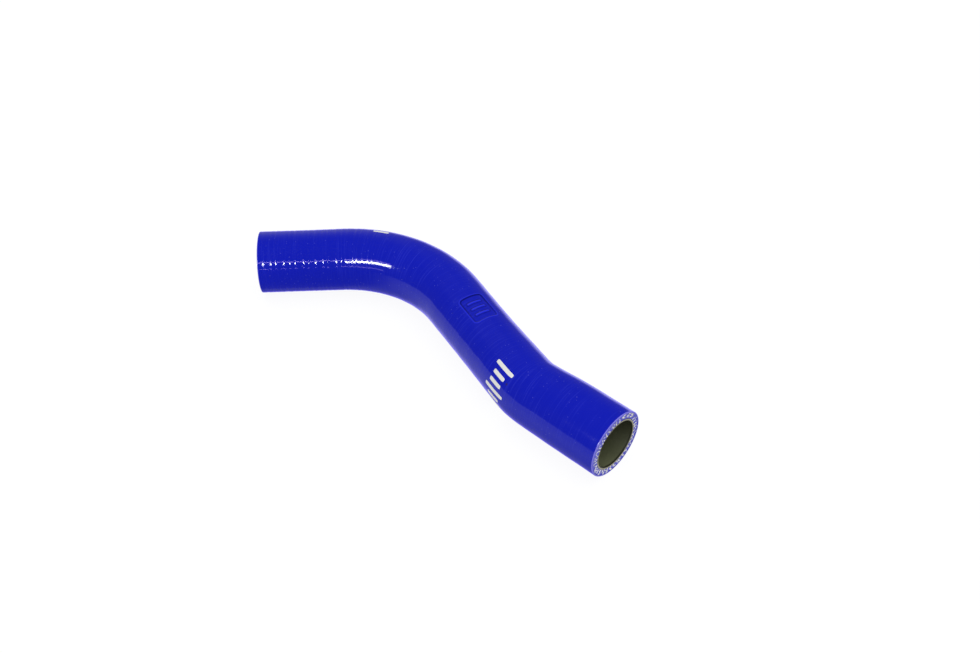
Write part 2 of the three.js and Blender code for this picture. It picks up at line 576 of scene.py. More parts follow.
@dataclass
class OuterCover:
    """The glossy blue cover: a thin closed tube with worn, rounded lips at its two cut ends."""

    form: HoseForm
    tag: TagMark = field(default_factory=TagMark)
    wrap: WrapRelief = field(default_factory=WrapRelief)
    thickness: float = 0.8 * MM
    hidden_gap: float = 0.02 * MM
    edge_break: float = 0.4 * MM
    edge_steps: int = 6
    row_step: float = 0.7 * MM
    wrap_step: float = 0.23 * MM
    tag_step: float = 0.24 * MM
    hidden_step: float = 6 * MM
    column_step: float = 4.5
    tag_column_step: float = 1.2
    fine_margin: float = 1.2 * MM
    fade: float = 1.2 * MM
    face_cut: float = 0.6

    def rows(self) -> list[Row]:
        """Lists the section: along the outside, over lip B, back along the inside and over lip A.

        Returns:
            The rows. Those of a lip lie on a quarter circle.
        """
        length = self.form.length
        centre = self.tag.centre(self.form)
        reach = self.tag.length / 2 + self.fine_margin
        fine = [
            (self.edge_break, self.wrap.fade_end, self.wrap_step),
            (centre - reach, centre + reach, self.tag_step),
        ]
        outside = graded(self.edge_break, length - self.edge_break, self.row_step, fine)
        lip = lip_points(self.edge_break, self.edge_steps)
        rows = [Row(float(distance), 0.0) for distance in outside]
        rows += [Row(length - out, inset, 1.0) for out, inset in lip]
        rows += [Row(length, self.thickness, self.face_cut)]
        hidden = graded(0.0, length, self.hidden_step, [])[::-1]
        rows += [Row(float(distance), self.thickness + self.hidden_gap) for distance in hidden]
        rows += [Row(0.0, self.thickness, self.face_cut)]
        rows += [Row(out, inset, 1.0) for out, inset in reversed(lip)]
        return rows

    def columns(self) -> np.ndarray:
        """Gives the clock angles of the columns, from the underside round, in radians."""
        half = math.degrees((self.tag.width / 2 + self.fine_margin) / self.form.wall.bore_radius)
        fine = [(self.tag.clock - half, self.tag.clock + half, self.tag_column_step)]
        return np.radians(graded(UNDERSIDE, UNDERSIDE + 360.0, self.column_step, fine)[:-1])

    def build(self) -> bpy.types.Object:
        """Builds the cover.

        Its radius is the hose's own, less the row's inset and the wrap's depth, plus the tag's
        height. The relief fades out towards the lips.

        Returns:
            The new object.
        """
        distance, inset, cut = as_arrays(self.rows())
        clock = self.columns()
        inside = np.minimum(distance, self.form.length - distance)
        strength = (smooth_step(inside, 0.0, self.fade) * (inset == 0.0))[:, None]
        down, around = distance[:, None], clock[None, :]
        tag, crease_shade, ridge_highlight = self.tag.relief(self.form, down, around)
        relief = (tag - self.wrap.depth(down, around)) * strength
        radius = self.form.outer_radius(down) - inset[:, None] + relief
        # The tag mark's painted shade and painted highlight go onto the cover as attributes.
        marks = {CUT_EDGE: cut[:, None], CREASE_SHADE: crease_shade * strength, RIDGE_HIGHLIGHT: ridge_highlight * strength}
        return RingGrid(self.form, down, radius, clock, distance, marks).build("outer_cover")


@dataclass(frozen=True)
class Lining:
    """How thick the liner is around the bore: it is thin on one side, as the wrap pulled it."""

    thickness: float = 1.15 * MM
    thin_share: float = 0.8
    thin_clock: float = 40.0
    thin_spread: float = 42.0

    def wall(self, clock: np.ndarray) -> np.ndarray:
        """Gives the liner's thickness, which dips along a bell curve about the thin clock angle."""
        dip = bell(clock_from(clock, self.thin_clock), math.radians(self.thin_spread))
        return self.thickness * (1 - self.thin_share * dip)


@dataclass
class PlyWall:
    """The plies between the cover and the liner, cut a hair's breadth below the cover's lips."""

    form: HoseForm
    lining: Lining
    cover_thickness: float
    recess: float = 0.12 * MM
    clearance: float = 0.03 * MM
    face_steps: int = 10
    hidden_step: float = 6 * MM
    column_step: float = 2.0
    unevenness: float = 0.035 * MM
    waves_around: float = 33.35
    waves_outward: float = 7.1 / MM
    wave_lean: float = 3.0

    def build(self) -> bpy.types.Object:
        """Builds the plies.

        A point of a cut face lies off it by the unevenness, times the sine of the waves around the
        hose, times the sine of those outward, which lean with the clock angle.

        Returns:
            The new object.
        """
        clock = ring_clock(self.column_step)[None, :]
        length = self.form.length
        along = graded(self.recess, length - self.recess, self.hidden_step, [])
        share = np.linspace(0.0, 1.0, self.face_steps + 1)[1:-1]
        faces = [np.full(share.size, along[-1]), np.full(share.size, along[0])]
        distance = np.concatenate([along, faces[0], along[::-1], faces[1]])[:, None]
        inward = np.concatenate([np.zeros(along.size), share, np.ones(along.size), share[::-1]])[:, None]
        outer = self.form.outer_radius(distance) - self.cover_thickness - self.clearance
        inner = self.form.wall.bore_radius + self.lining.wall(clock) + self.clearance
        radius = outer + (inner - outer) * inward
        on_face = ((inward > 0) & (inward < 1)).astype(float)
        outward = np.sin(radius * self.waves_outward + self.wave_lean * clock)
        shift = self.unevenness * np.sin(clock * self.waves_around) * outward * on_face
        marks = {CUT_EDGE: on_face}
        grid = RingGrid(self.form, distance + shift, radius, clock[0], radius[:, 0], marks)
        return grid.build("ply_wall")


@dataclass(frozen=True)
class YarnRow:
    """One row of yarn ends that runs around a cut face.

    The share is the row's place between the liner at 0 and the cover at 1. The yarns' length lies
    along the row but for the lean, which changes sign from one yarn to the next. Clean says how
    white they are, and the row runs between its first and last clock angles.
    """

    share: float
    pitch: float
    length: float
    width: float
    lean: float
    clean: float
    first: float
    last: float


WOUND_CLOTH = (
    YarnRow(0.12, 2.25 * MM, 1.15 * MM, 1.4 * MM, 4.0, 1.0, 145.0, 460.0),
    YarnRow(0.52, 2.0 * MM, 2.3 * MM, 0.62 * MM, 46.0, 0.9, 148.0, 245.0),
    YarnRow(0.95, 3.3 * MM, 1.5 * MM, 0.50 * MM, 10.0, 0.8, 150.0, 250.0),
    YarnRow(0.40, 2.9 * MM, 1.9 * MM, 0.95 * MM, 28.0, 1.0, 250.0, 345.0),
    YarnRow(0.72, 3.1 * MM, 1.8 * MM, 0.95 * MM, -28.0, 1.0, 246.0, 342.0),
    YarnRow(0.98, 3.6 * MM, 1.5 * MM, 0.60 * MM, 10.0, 1.0, 252.0, 338.0),
    YarnRow(0.55, 1.8 * MM, 1.9 * MM, 0.65 * MM, 50.0, 0.85, -30.0, 98.0),
    YarnRow(0.90, 2.4 * MM, 1.3 * MM, 0.50 * MM, -20.0, 0.15, -10.0, 98.0),
    YarnRow(0.40, 3.6 * MM, 2.7 * MM, 0.70 * MM, 3.0, 1.0, 101.0, 143.0),
    YarnRow(0.68, 3.9 * MM, 3.0 * MM, 0.72 * MM, -3.0, 1.0, 98.0, 146.0),
    YarnRow(0.97, 4.0 * MM, 3.1 * MM, 0.75 * MM, 2.0, 1.0, 101.0, 144.0),
)


@dataclass
class YarnEnds:
    """White yarn ends in a cut face: dots beside the liner, leaning dashes and a few long streaks.

    The dots are yarns that run along the hose, cut across. The dashes are those that wind around
    it over and under the dots, and the streaks are where the last turn of cloth ends.
    """

    form: HoseForm
    lining: Lining
    end: End
    cover_thickness: float
    seed: int
    rows: tuple[YarnRow, ...] = WOUND_CLOTH
    scatter: float = 0.07 * MM
    dome: float = 0.05 * MM
    sink: float = 0.15 * MM
    recess: float = 0.06 * MM
    margin: float = 0.3 * MM
    sides: int = 8
    place_range: Reach = (0.3, 0.7)
    length_range: Reach = (0.75, 1.2)
    width_range: Reach = (0.8, 1.25)
    white_range: Reach = (0.75, 1.0)
    lean_scatter: float = 0.08

    def build(self) -> bpy.types.Object:
        """Builds every yarn end as a low dome over a sunken point, all in one mesh.

        The rim is an ellipse, turned by the yarn's lean and laid around the hose.

        Returns:
            The new object.
        """
        clock, radius, length, width, lean, clean = self.places()
        angles = np.arange(self.sides) * FULL_TURN / self.sides
        rim_u = np.cos(angles)[None, :] * length[:, None] / 2
        rim_v = np.sin(angles)[None, :] * width[:, None] / 2
        zero = np.zeros((len(clock), 1))
        u = np.hstack([rim_u, zero, zero])
        v = np.hstack([rim_v, zero, zero])
        height = np.hstack([np.zeros_like(rim_u), zero + self.dome, zero - self.sink])
        cosine, sine = np.cos(lean)[:, None], np.sin(lean)[:, None]
        around = u * cosine - v * sine
        point_radius = radius[:, None] + u * sine + v * cosine
        point_clock = clock[:, None] + around / radius[:, None]
        out = height - self.recess
        distance = self.form.length + out if self.end is End.B else -out
        points = self.form.carry(distance, point_clock, point_radius).reshape(-1, 3)
        i = np.arange(self.sides)
        j = (i + 1) % self.sides
        top, bottom = np.full(self.sides, self.sides), np.full(self.sides, self.sides + 1)
        template = np.concatenate([np.stack([i, j, top], -1), np.stack([j, i, bottom], -1)])
        if self.end is End.A:
            template = template[:, ::-1]
        first = np.arange(len(clock)) * (self.sides + 2)
        faces = (template[None] + first[:, None, None]).reshape(-1, 3)
        flat = np.stack([(u + clock[:, None] * radius[:, None]).ravel(), v.ravel()], axis=-1) / MM
        marks = {CLEAN: np.repeat(clean, self.sides + 2)}
        name = f"yarn_ends_{self.end.value}"
        return add_piece(name, points, faces, flat[faces].reshape(-1, 2), marks)

    def places(self) -> np.ndarray:
        """Lays the yarn ends out in their rows, with small random shifts from a seeded generator.

        Returns:
            Six lines of numbers: the clock angle, radius, length, width, lean and whiteness of
            each yarn end.
        """
        random = np.random.default_rng(self.seed)
        face = self.form.length if self.end is End.B else 0.0
        outer = float(self.form.outer_radius(np.array([face]))[0]) - self.cover_thickness - self.margin
        found = []
        for row in self.rows:
            span = math.radians(row.last - row.first)
            middle = self.form.wall.bore_radius + self.lining.thickness
            count = int(span * (middle + row.share * (outer - middle)) / row.pitch)
            step = span / count
            place = np.arange(count) + random.uniform(*self.place_range, count)
            clock = math.radians(row.first) + place * step
            inner = self.form.wall.bore_radius + self.lining.wall(clock) + self.margin
            radius = inner + row.share * (outer - inner) + random.normal(0.0, self.scatter, count)
            sign = np.where(np.arange(count) % 2 == 0, 1.0, -1.0)
            found.append(
                [
                    clock,
                    np.clip(radius, inner, outer),
                    row.length * random.uniform(*self.length_range, count),
                    row.width * random.uniform(*self.width_range, count),
                    math.radians(row.lean) * sign + random.normal(0.0, self.lean_scatter, count),
                    row.clean * random.uniform(*self.white_range, count),
                ]
            )
        return np.concatenate(found, axis=1)


@dataclass
class BoreLiner:
    """The dark liner of the bore, whose lighter cut edges show as thin rings in both faces.

    Its colour is painted lighter on one side of the bore, whose inner face looks up towards the light, and
    darker on the other: painted light and shade. The painted light fades out towards the mouths, which
    leaves a thin band of painted shade just inside each.
    """

    form: HoseForm
    lining: Lining
    edge_break: float = 0.25 * MM
    edge_steps: int = 4
    cut_shares: tuple[float, float] = (0.93, 0.5)
    # Where the painted light in the bore is brightest, and the reach inside each mouth over which it rises
    # from painted shade.
    lit_clock: float = -50.0
    shaded_rim: Reach = (0.45 * MM, 1.1 * MM)
    rim_end: float = 2 * MM
    rim_step: float = 0.3 * MM
    row_step: float = 2.5 * MM
    column_step: float = 3.0

    def rows(self) -> list[Row]:
        """Lists the section: along the hidden outside, over edge B, along the bore and over edge A.

        Returns:
            The rows. A depth is a share of the liner's thickness, or less than 0 where it stands
            for a lift off the bore, as on the edges' quarter circles.
        """
        length = self.form.length
        outside = graded(0.0, length, 3 * self.row_step, [])
        rims = [
            (self.edge_break, self.rim_end, self.rim_step),
            (length - self.rim_end, length - self.edge_break, self.rim_step),
        ]
        inside = graded(self.edge_break, length - self.edge_break, self.row_step, rims)[::-1]
        lip = lip_points(self.edge_break, self.edge_steps)[::-1]
        rows = [Row(float(distance), 1.0) for distance in outside]
        rows += [Row(length, share, 1.0) for share in self.cut_shares]
        rows += [Row(length - out, -lift) for out, lift in lip]
        rows += [Row(float(distance), 0.0) for distance in inside]
        rows += [Row(out, -lift) for out, lift in reversed(lip)]
        rows += [Row(0.0, share, 1.0) for share in reversed(self.cut_shares)]
        return rows

    def build(self) -> bpy.types.Object:
        """Builds the liner as a closed tube around the bore, with rounded inner edges.

        The painted light follows the cosine of the clock angle from its brightest side.

        Returns:
            The new object.
        """
        distance, depth, cut = as_arrays(self.rows())
        clock = ring_clock(self.column_step)
        thickness = np.maximum(depth, 0.0)[:, None] * self.lining.wall(clock)[None, :]
        radius = self.form.wall.bore_radius + np.maximum(thickness, -depth[:, None])
        # Painted light by the clock angle, and painted shade in a narrow band at each mouth.
        lit_side = 0.5 + 0.5 * np.cos(clock - math.radians(self.lit_clock))
        inward = smooth_step(np.minimum(distance, self.form.length - distance), *self.shaded_rim)
        marks = {CUT_EDGE: cut[:, None], BORE_LIGHT: lit_side[None, :] * inward[:, None]}
        grid = RingGrid(self.form, distance[:, None], radius, clock, distance, marks)
        return grid.build("bore_liner")


PRINTED_AT = {
    "printed_scale_1": (65 * MM, 232.0),
    "printed_scale_2": (188.5 * MM, 54.0),
}


@dataclass
class PrintedScale:
    """A plain scale of white ticks printed around the hose, in ink that stands a little proud."""

    form: HoseForm
    name: str
    distance: float
    first_clock: float
    tick_angle: float = 15.0
    count: int = 9
    long_every: int = 3
    long_tick: float = 12.5 * MM
    short_tick: float = 8.0 * MM
    width: float = 2.1 * MM
    squareness: float = 7.0
    height: float = 0.06 * MM
    sink: float = 0.09 * MM
    rings: int = 9
    sides: int = 64
    crown: float = 0.97
    shoulder: float = 0.985

    def build(self) -> bpy.types.Object:
        """Builds the ticks as thin pads that follow the round cover.

        A pad's outline is a squared ellipse, each half axis times the cosine or sine of the angle
        to the power 2 over the squareness. Rings run from its centre out over the top and back
        underneath.

        Returns:
            The new object.
        """
        angles = np.arange(self.sides) * FULL_TURN / self.sides
        power = 2 / self.squareness
        across = np.sign(np.cos(angles)) * np.abs(np.cos(angles)) ** power / 2
        along = np.sign(np.sin(angles)) * np.abs(np.sin(angles)) ** power / 2
        top = np.append(np.linspace(0.0, 1.0, self.rings)[1:-1] * self.crown, [self.shoulder, 1.0])
        share = np.concatenate([top, top[::-1][1:]])
        over, under = np.full(top.size - 1, self.height), np.full(top.size - 1, -self.sink)
        height = np.concatenate([over, [0.0], under])
        heights = np.append(np.repeat(height, self.sides), [self.height, -self.sink])
        points, faces = [], []
        for i in range(self.count):
            length = self.short_tick if i % self.long_every else self.long_tick
            u = np.append(share[:, None] * across[None, :], [0.0, 0.0]) * self.width
            v = np.append(share[:, None] * along[None, :], [0.0, 0.0]) * length
            clock = math.radians(self.first_clock - i * self.tick_angle)
            cover = self.form.outer_radius(self.distance + v)
            faces.append(self._faces(share.size) + i * len(u))
            points.append(self.form.carry(self.distance + v, clock - u / cover, cover + heights))
        joined = np.concatenate(points)
        triangles = np.concatenate(faces)
        flat = joined[:, :2] / MM
        return add_piece(self.name, joined, triangles, flat[triangles].reshape(-1, 2))

    def _faces(self, rings: int) -> np.ndarray:
        """Gives the triangles of one pad: a fan, strips between the rings and a closing fan.

        Args:
            rings: How many rings of points the pad has. Its two middle points come after them.

        Returns:
            The vertex numbers of each triangle.
        """
        i = np.arange(self.sides)
        j = (i + 1) % self.sides
        start = np.full(self.sides, rings * self.sides)
        finish = start + 1
        parts = [np.stack([start, i, j], -1)]
        for ring in range(rings - 1):
            a, b = i + ring * self.sides, j + ring * self.sides
            c, d = b + self.sides, a + self.sides
            parts += [np.stack([a, d, c], -1), np.stack([a, c, b], -1)]
        last = (rings - 1) * self.sides
        parts += [np.stack([i + last, finish, j + last], -1)]
        return np.concatenate(parts)


# Shading


class Graph:
    """Adds nodes to a node tree and joins them."""

    def __init__(self, tree: bpy.types.NodeTree) -> None:
        """Takes the tree that the nodes go into."""
        self.tree = tree

    def join(self, source: bpy.types.NodeSocket, target: bpy.types.NodeSocket) -> None:
        """Links one socket to another."""
        self.tree.links.new(source, target)

    def fill(self, node: bpy.types.Node, inputs: dict) -> None:
        """Gives a node's inputs their values, or links them to sockets.

        Args:
            node: The node.
            inputs: The value or socket for each input, by name or number.
        """
        for key, value in inputs.items():
            if isinstance(value, bpy.types.NodeSocket):
                self.join(value, node.inputs[key])
            else:
                node.inputs[key].default_value = value

    def add(self, kind: str, inputs: dict | None = None, **settings: object) -> bpy.types.Node:
        """Adds one node.

        Args:
            kind: The node's type, without the words that all shader nodes start with.
            inputs: Values or sockets for its inputs, by name or number.
            settings: The node's own properties.

        Returns:
            The new node.
        """
        node = self.tree.nodes.new("ShaderNode" + kind)
        for key, value in settings.items():
            setattr(node, key, value)
        self.fill(node, inputs or {})
        return node

    def place(self, group: bpy.types.NodeTree, inputs: dict) -> bpy.types.NodeSocket:
        """Places a node group with its own values.

        Args:
            group: The group.
            inputs: The value or socket for each of its inputs.

        Returns:
            Its output.
        """
        node = self.tree.nodes.new("ShaderNodeGroup")
        node.node_tree = group
        self.fill(node, inputs)
        return node.outputs[0]

    def math(self, operation: str, *values: object) -> bpy.types.NodeSocket:
        """Adds a Math node on the given values or sockets and returns its result."""
        return self.add("Math", dict(enumerate(values)), operation=operation).outputs[0]

    def dot(self, direction: bpy.types.NodeSocket, other: Direction) -> bpy.types.NodeSocket:
        """Gives the dot product of a direction and a fixed vector."""
        node = self.add("VectorMath", {0: direction, 1: other}, operation="DOT_PRODUCT")
        return node.outputs["Value"]

    def fade(self, share: object, first: object, second: object) -> bpy.types.NodeSocket:
        """Goes from the first number, where the share is 0, to the second, where it is 1."""
        return self.math("MULTIPLY_ADD", self.math("SUBTRACT", second, first), share, first)

    def blend(self, share: object, first: object, second: object) -> bpy.types.NodeSocket:
        """Mixes two colours: the first where the share is 0 and the second where it is 1."""
        return self.add("Mix", {0: share, 6: first, 7: second}, data_type="RGBA").outputs[2]

    def span(self, value: object, reach: Reach, start: float, end: float) -> bpy.types.NodeSocket:
        """Goes smoothly from start to end as the value crosses the reach, and holds beyond it."""
        inputs = {0: value, 1: reach[0], 2: reach[1], 3: start, 4: end}
        return self.add("MapRange", inputs, interpolation_type="SMOOTHSTEP").outputs[0]

    def noise(
        self, place: bpy.types.NodeSocket, scale: object, detail: float, roughness: float = 0.5
    ) -> bpy.types.NodeSocket:
        """Adds a noise texture and returns its value."""
        inputs = {"Vector": place, "Scale": scale, "Detail": detail, "Roughness": roughness}
        return self.add("TexNoise", inputs).outputs["Fac"]

    def bump(self, height: bpy.types.NodeSocket, depth: object) -> bpy.types.NodeSocket:
        """Tilts the normal by a height of the given depth."""
        return self.add("Bump", {"Height": height, "Distance": depth}).outputs[0]

    def mark(self, name: str) -> bpy.types.NodeSocket:
        """Reads one of the mesh's attributes."""
        return self.add("Attribute", attribute_name=name).outputs["Fac"]

    def surface(self, scale: tuple[float, float] = (1.0, 1.0)) -> bpy.types.NodeSocket:
        """Reads the surface map, in millimetres, times a scale each way."""
        where = self.add("UVMap", uv_map=SURFACE_MAP).outputs[0]
        return self.add("Mapping", {"Vector": where, "Scale": (*scale, 1.0)}).outputs[0]

    def background(self, strength: object, colour: Colour = WHITE) -> bpy.types.NodeSocket:
        """Adds light from all around."""
        return self.add("Background", {"Color": opaque(colour), "Strength": strength}).outputs[0]

    def either(self, share: object, first: object, second: object) -> bpy.types.NodeSocket:
        """Mixes two shaders: the first where the share is 0 and the second where it is 1."""
        return self.add("MixShader", {0: share, 1: first, 2: second}).outputs[0]


def opaque(colour: Colour) -> tuple[float, float, float, float]:
    """Adds a full alpha to a colour."""
    return (*colour, 1.0)


def make_group(
    name: str,
    inputs: dict[str, str],
    output: tuple[str, str],
    fill: Callable[[Graph, dict], bpy.types.NodeSocket],
) -> bpy.types.NodeTree:
    """Makes a shader node group.

    Args:
        name: The group's name.
        inputs: The kind of each input, by its name.
        output: The name and kind of the output.
        fill: Adds the nodes, given the graph and the input sockets, and returns the result.

    Returns:
        The group.
    """
    tree = bpy.data.node_groups.new(name, "ShaderNodeTree")
    for title, kind in inputs.items():
        tree.interface.new_socket(title, in_out="INPUT", socket_type="NodeSocket" + kind)
    title, kind = output
    tree.interface.new_socket(title, in_out="OUTPUT", socket_type="NodeSocket" + kind)
    entry = tree.nodes.new("NodeGroupInput")
    leave = tree.nodes.new("NodeGroupOutput")
    result = fill(Graph(tree), {key: entry.outputs[key] for key in inputs})
    tree.links.new(result, leave.inputs[title])
    return tree


@dataclass(frozen=True)
class Tint:
    """A colour that lies over another, and how much of it shows."""

    colour: Colour
    share: float = 1.0


@dataclass(frozen=True)
class Drift:
    """A soft cloudy change of tone: its clouds per metre, and how far it goes."""

    scale: float
    amount: float


@dataclass(frozen=True)
class Specks:
    """Soft round specks: their cells per metre, their size in a cell and the share that has one."""

    scale: float
    size: float
    share: float


@dataclass(frozen=True)
class Grain:
    """A fine roughness: its grains per metre and its depth."""

    scale: float
    depth: float


@dataclass
class Effects:
    """The effects that several finishes share, each built once as a node group."""

    drift_group: bpy.types.NodeTree = field(init=False)
    specks_group: bpy.types.NodeTree = field(init=False)
    grain_group: bpy.types.NodeTree = field(init=False)
    least_size: float = 0.35
    speck_core: float = 0.5

    def __post_init__(self) -> None:
        """Builds the groups."""
        drift = {"Colour": "Color", "Vector": "Vector", "Scale": "Float", "Amount": "Float"}
        specks = {"Vector": "Vector", "Scale": "Float", "Size": "Float", "Share": "Float"}
        grain = {"Vector": "Vector", "Scale": "Float", "Depth": "Float"}
        self.drift_group = make_group("tone drift", drift, ("Colour", "Color"), self._drift)
        self.specks_group = make_group("dust specks", specks, ("Mask", "Float"), self._specks)
        self.grain_group = make_group("fine grain", grain, ("Normal", "Vector"), self._grain)

    def _drift(self, graph: Graph, inputs: dict) -> bpy.types.NodeSocket:
        """Scales a colour by 1 plus the amount times a noise about zero.

        Args:
            graph: The group's graph.
            inputs: Its input sockets.

        Returns:
            The colour.
        """
        centred = graph.math("SUBTRACT", graph.noise(inputs["Vector"], inputs["Scale"], 3.0), 0.5)
        gain = graph.math("MULTIPLY_ADD", centred, inputs["Amount"], 1.0)
        scaled = graph.add("VectorMath", {0: inputs["Colour"], "Scale": gain}, operation="SCALE")
        return scaled.outputs[0]

    def _specks(self, graph: Graph, inputs: dict) -> bpy.types.NodeSocket:
        """Puts a speck in some cells of a Voronoi texture, each of its own size.

        Args:
            graph: The group's graph.
            inputs: Its input sockets.

        Returns:
            The mask, which is 1 in the specks.
        """
        cells = graph.add("TexVoronoi", {"Vector": inputs["Vector"], "Scale": inputs["Scale"]})
        parts = graph.add("SeparateColor", {0: cells.outputs["Color"]}).outputs
        chosen = graph.math("LESS_THAN", parts[0], inputs["Share"])
        size = graph.math("MULTIPLY", inputs["Size"], graph.math("ADD", parts[1], self.least_size))
        near = graph.math("DIVIDE", cells.outputs["Distance"], size)
        return graph.math("MULTIPLY", graph.span(near, (self.speck_core, 1.0), 1.0, 0.0), chosen)

    def _grain(self, graph: Graph, inputs: dict) -> bpy.types.NodeSocket:
        """Roughens the surface with a fine noise."""
        return graph.bump(graph.noise(inputs["Vector"], inputs["Scale"], 2.0), inputs["Depth"])


@dataclass
class Skin:
    """A new material with a Principled BSDF, and the shared effects laid on Object coordinates."""

    name: str
    effects: Effects
    material: bpy.types.Material = field(init=False)
    graph: Graph = field(init=False)
    place: bpy.types.NodeSocket = field(init=False)

    def __post_init__(self) -> None:
        """Makes the material."""
        self.material = bpy.data.materials.new(self.name)
        self.material.use_nodes = True
        self.graph = Graph(self.material.node_tree)
        self.place = self.graph.add("TexCoord").outputs["Object"]

    def drift(self, colour: object, drift: Drift) -> bpy.types.NodeSocket:
        """Lets a colour drift in tone."""
        inputs = {"Colour": colour, "Vector": self.place, "Scale": drift.scale, "Amount": drift.amount}
        return self.graph.place(self.effects.drift_group, inputs)

    def specks(self, specks: Specks) -> bpy.types.NodeSocket:
        """Gives the mask of some specks."""
        inputs = {"Vector": self.place, "Scale": specks.scale, "Size": specks.size, "Share": specks.share}
        return self.graph.place(self.effects.specks_group, inputs)

    def grain(self, grain: Grain) -> bpy.types.NodeSocket:
        """Gives the normal of a fine grain."""
        inputs = {"Vector": self.place, "Scale": grain.scale, "Depth": grain.depth}
        return self.graph.place(self.effects.grain_group, inputs)

    def tint(self, base: object, mask: object, tint: Tint) -> bpy.types.NodeSocket:
        """Lays a tint over a colour where its mask is full."""
        share = self.graph.math("MULTIPLY", mask, tint.share)
        return self.graph.blend(share, base, opaque(tint.colour))

    def finish(self, inputs: dict) -> bpy.types.Material:
        """Gives the shader its values and sockets, and returns the material."""
        self.graph.fill(self.material.node_tree.nodes["Principled BSDF"], inputs)
        return self.material


@dataclass(frozen=True)
class CoverFinish:
    """Glossy deep blue silicone with fine wrap lines, faint specks and lighter lavender lips at the cut
    ends, with a painted highlight on the tag mark's lip and bars and painted shade in its creases.
    """

    colour: Colour = (0.003, 0.009, 0.43)
    drift: Drift = Drift(18.0, 0.14)
    streak: Tint = Tint((0.022, 0.034, 0.56), 0.7)
    speck: Tint = Tint((0.09, 0.10, 0.58), 0.6)
    specks: Specks = Specks(620.0, 0.15, 0.42)
    stain: Tint = Tint((0.03, 0.02, 0.04), 0.7)
    stains: Specks = Specks(120.0, 0.09, 0.08)
    lip: Tint = Tint((0.24, 0.22, 0.84), 0.8)
    # Painted highlight on the tag mark's lip and bar tops.
    ridge_highlight: Tint = Tint((0.018, 0.03, 0.72), 0.85)
    # Painted shade in the tag mark's creases.
    crease_shade: Tint = Tint((0.0, 0.002, 0.13), 0.9)
    sheen_tint: Colour = (0.2, 0.16, 1.0)
    sheen: float = 1.0
    sheen_roughness: float = 0.28
    roughness: float = 0.07
    streak_roughness: float = 0.16
    lip_dullness: float = 0.25
    speck_dullness: float = 0.18
    index: float = 1.43
    line_pitch: float = 0.45
    line_reach: float = 22.0
    line_detail: float = 4.0
    line_roughness: float = 0.6
    line_depth: float = 0.004 * MM
    line_shown: Reach = (0.52, 0.72)
    patches: float = 28.0
    patch_shown: Reach = (0.38, 0.62)
    patch_least: float = 0.25

    def build(self, effects: Effects) -> bpy.types.Material:
        """Builds the material, whose wrap lines are a noise stretched around the hose.

        Args:
            effects: The shared effects.

        Returns:
            The material.
        """
        skin = Skin("deep blue silicone", effects)
        graph = skin.graph
        stretched = graph.surface((1 / self.line_reach, 1 / self.line_pitch))
        lines = graph.noise(stretched, 1.0, self.line_detail, self.line_roughness)
        clouds = graph.noise(skin.place, self.patches, 2.0)
        patch = graph.span(clouds, self.patch_shown, self.patch_least, 1.0)
        shown = graph.math("MULTIPLY", graph.span(lines, self.line_shown, 0.0, 1.0), patch)
        specks = skin.specks(self.specks)
        cut = graph.mark(CUT_EDGE)
        colour = skin.drift(opaque(self.colour), self.drift)
        for mask, tint in (
            (shown, self.streak),
            (specks, self.speck),
            (skin.specks(self.stains), self.stain),
            # Lighter lavender lips at the cut ends.
            (cut, self.lip),
            # Painted highlight on the tag mark's lip and bar tops.
            (graph.mark(RIDGE_HIGHLIGHT), self.ridge_highlight),
            # Painted shade in the tag mark's creases.
            (graph.mark(CREASE_SHADE), self.crease_shade),
        ):
            colour = skin.tint(colour, mask, tint)
        rough = graph.fade(shown, self.roughness, self.streak_roughness)
        rough = graph.math("MULTIPLY_ADD", cut, self.lip_dullness, rough)
        return skin.finish(
            {
                "Base Color": colour,
                "Roughness": graph.math("MULTIPLY_ADD", specks, self.speck_dullness, rough),
                "Normal": graph.bump(lines, self.line_depth),
                "IOR": self.index,
                "Sheen Weight": self.sheen,
                "Sheen Roughness": self.sheen_roughness,
                "Sheen Tint": opaque(self.sheen_tint),
            }
        )


@dataclass(frozen=True)
class PlyFinish:
    """Light blue silicone between the plies, with darker lines where one ply meets the next."""

    colour: Colour = (0.13, 0.13, 0.72)
    line: Tint = Tint((0.018, 0.022, 0.40), 0.8)
    line_shown: Reach = (0.2, 0.9)
    drift: Drift = Drift(800.0, 0.8)
    grain: Grain = Grain(3000.0, 0.03 * MM)
    roughness: float = 0.45
    ply_pitch: float = 1.1
    plies_around: float = 78.5
    wobbles: float = 900.0
    wobble: float = 0.35

    def build(self, effects: Effects) -> bpy.types.Material:
        """Builds the material, whose ply lines lean outwards by one ply in each turn.

        A line is where the sine of a full turn times the depth over the ply's pitch is high.

        Args:
            effects: The shared effects.

        Returns:
            The material.
        """
        skin = Skin("light blue ply silicone", effects)
        graph = skin.graph
        around, outward, _ = graph.add("SeparateXYZ", {0: graph.surface()}).outputs
        climb = graph.math("MULTIPLY", around, self.ply_pitch / self.plies_around)
        depth = graph.math("SUBTRACT", outward, climb)
        depth = graph.math("MULTIPLY_ADD", graph.noise(skin.place, self.wobbles, 1.0), self.wobble, depth)
        wave = graph.math("SINE", graph.math("MULTIPLY", depth, FULL_TURN / self.ply_pitch))
        banded = skin.tint(opaque(self.colour), graph.span(wave, self.line_shown, 0.0, 1.0), self.line)
        return skin.finish(
            {
                "Base Color": skin.drift(banded, self.drift),
                "Roughness": self.roughness,
                "Normal": skin.grain(self.grain),
            }
        )


